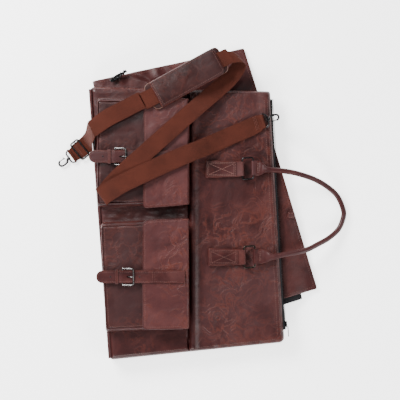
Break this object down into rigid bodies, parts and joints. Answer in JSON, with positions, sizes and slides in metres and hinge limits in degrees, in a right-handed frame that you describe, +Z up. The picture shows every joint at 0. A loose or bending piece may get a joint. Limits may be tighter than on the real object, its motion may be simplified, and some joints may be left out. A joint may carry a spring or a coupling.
{
  "type": "garment bag",
  "caption": "Folded leather garment bag with flap pockets, buckled belts, a rolled carrying handle and a loose shoulder strap with pad and snap hooks.",
  "frame": {"origin": "middle of the bag's footprint on the table it lies on", "axes": "+X from the fold (spine) to the zipped open edge, +Y from the bag's foot to its head, +Z up, out of the pockets' side"},
  "size_m": [0.6319, 0.6709, 0.0753],
  "materials": {
    "leather": "glazed oxblood-brown leather, mottled, satin",
    "webbing": "woven red-brown strap webbing, matte",
    "lining": "black woven lining and zip tape",
    "gunmetal": "dark gunmetal, polished",
    "nickel": "bright nickel, slightly worn"
  },
  "bodies": {
    "root": {"back_shell": "leather", "back_lining": "lining", "spine_gusset": "leather", "garment_strap_upper": "lining", "garment_strap_lower": "lining", "garment_clip_upper": "gunmetal", "garment_clip_lower": "gunmetal", "hanger_loop": "lining", "hanger_hook": "nickel", "sleeve_lining": "lining", "sleeve_cover": "leather", "sleeve_tab": "leather", "zip_tail": "lining"},
    "front_half": {"front_lining": "lining", "front_shell": "leather", "zip_tape": "lining", "zip_teeth": "gunmetal", "pocket_body_upper": "leather", "pocket_body_lower": "leather", "snap_stud_upper": "nickel", "snap_stud_lower": "nickel", "handle_tab_upper": "leather", "handle_tab_lower": "leather"},
    "zip_slider": {"zip_slider": "gunmetal"},
    "zip_pull": {"zip_pull": "gunmetal"},
    "flap_upper": {"pocket_flap_upper": "leather", "flap_belt_upper": "leather", "buckle_frame_upper": "nickel", "buckle_prong_upper": "nickel", "buckle_strap_upper": "leather", "belt_keeper_upper": "leather", "snap_socket_upper": "nickel"},
    "flap_lower": {"pocket_flap_lower": "leather", "flap_belt_lower": "leather", "buckle_frame_lower": "nickel", "buckle_prong_lower": "nickel", "buckle_strap_lower": "leather", "belt_keeper_lower": "leather", "snap_socket_lower": "nickel"},
    "ring_upper": {"handle_ring_upper": "gunmetal"},
    "ring_lower": {"handle_ring_lower": "gunmetal"},
    "handle": {"handle_grip": "leather", "handle_end_upper": "leather", "handle_end_lower": "leather"},
    "strap": {"strap_webbing": "webbing"},
    "strap_pad": {"strap_pad": "leather"},
    "strap_tail": {"strap_tail_webbing": "webbing"},
    "strap_adjuster": {"strap_adjuster": "gunmetal"},
    "hook_a_ring": {"hook_ring_a": "gunmetal"},
    "hook_a": {"snap_hook_a": "gunmetal"},
    "hook_a_gate": {"hook_gate_a": "nickel"},
    "hook_b_ring": {"hook_ring_b": "gunmetal"},
    "hook_b": {"snap_hook_b": "gunmetal"},
    "hook_b_gate": {"hook_gate_b": "nickel"}
  },
  "joints": [
    {"name": "fold", "type": "hinge", "parent": "root", "child": "front_half", "pos_m": [-0.2437, -0.0445, 0.0425], "axis": [0, -1, 0], "range_deg": [0, 180], "deforming": ["strap_tail_webbing"]},
    {"name": "flap_upper_hinge", "type": "hinge", "parent": "front_half", "child": "flap_upper", "pos_m": [-0.02122, 0.1105, 0.05], "axis": [0.0719, 0.9974, 0], "range_deg": [0, 115]},
    {"name": "flap_lower_hinge", "type": "hinge", "parent": "front_half", "child": "flap_lower", "pos_m": [-0.04044, -0.156, 0.05], "axis": [0.0719, 0.9974, 0], "range_deg": [0, 120]},
    {"name": "strap_lift", "type": "slide", "parent": "front_half", "child": "strap", "axis": [0, 0, 1], "range_m": [0, 0.47]},
    {"name": "strap_tail_fold", "type": "hinge", "parent": "strap", "child": "strap_tail", "pos_m": [-0.2437, -0.0445, 0.0425], "axis": [0, -1, 0], "range_deg": [-180, 0]},
    {"name": "ring_upper_lift", "type": "hinge", "parent": "front_half", "child": "ring_upper", "pos_m": [0.09082, 0.0645, 0.0466], "axis": [-0.0542, -0.9985, 0], "range_deg": [0, 80]},
    {"name": "ring_lower_lift", "type": "hinge", "parent": "front_half", "child": "ring_lower", "pos_m": [0.08028, -0.1295, 0.0466], "axis": [-0.0542, -0.9985, 0], "range_deg": [0, 80]},
    {"name": "handle_lift", "type": "hinge", "parent": "ring_upper", "child": "handle", "pos_m": [0.11482, 0.0645, 0.0466], "axis": [-0.0542, -0.9985, 0], "range_deg": [0, 30]},
    {"name": "zip_slide", "type": "slide", "parent": "front_half", "child": "zip_slider", "axis": [0.0164, 0.9999, 0], "range_m": [0, 0.48]},
    {"name": "zip_pull_swing", "type": "hinge", "parent": "zip_slider", "child": "zip_pull", "pos_m": [0.1662, -0.2885, 0.028], "axis": [0, 0, 1], "range_deg": [0, 160]},
    {"name": "pad_slide", "type": "slide", "parent": "strap", "child": "strap_pad", "axis": [-0.9093, -0.4162, 0], "range_m": [0, 0.09], "deforming": ["strap_webbing"]},
    {"name": "adjuster_slide", "type": "slide", "parent": "strap_tail", "child": "strap_adjuster", "axis": [0.8192, 0.5736, 0], "range_m": [0, 0.008], "deforming": ["strap_tail_webbing"]},
    {"name": "hook_a_lift", "type": "hinge", "parent": "strap_tail", "child": "hook_a_ring", "pos_m": [-0.2837, 0.1225, 0.0046], "axis": [-0.5299, 0.848, 0], "range_deg": [0, 60]},
    {"name": "hook_a_swivel", "type": "hinge", "parent": "hook_a_ring", "child": "hook_a", "pos_m": [-0.29472, 0.11561, 0.0046], "axis": [-0.848, -0.5299, 0], "continuous": true},
    {"name": "hook_a_gate", "type": "hinge", "parent": "hook_a", "child": "hook_a_gate", "pos_m": [-0.30088, 0.11754, 0.0046], "axis": [0, 0, 1], "range_deg": [0, 25], "stiffness_Nm_per_rad": 0.02},
    {"name": "hook_b_lift", "type": "hinge", "parent": "strap", "child": "hook_b_ring", "pos_m": [0.1442, 0.1657, 0.0454], "axis": [0.225, -0.9744, 0], "range_deg": [0, 60]},
    {"name": "hook_b_swivel", "type": "hinge", "parent": "hook_b_ring", "child": "hook_b", "pos_m": [0.15687, 0.16862, 0.0454], "axis": [0.9744, 0.225, 0], "continuous": true},
    {"name": "hook_b_gate", "type": "hinge", "parent": "hook_b", "child": "hook_b_gate", "pos_m": [0.16206, 0.16479, 0.0454], "axis": [0, 0, 1], "range_deg": [0, 25], "stiffness_Nm_per_rad": 0.02}
  ],
  "couplings": [
    {"joint": "strap_lift", "follows": "flap_upper_hinge", "m_per_rad": 0.23},
    {"joint": "strap_tail_fold", "follows": "fold", "ratio": -1},
    {"joint": "ring_lower_lift", "follows": "ring_upper_lift", "ratio": 1}
  ]
}
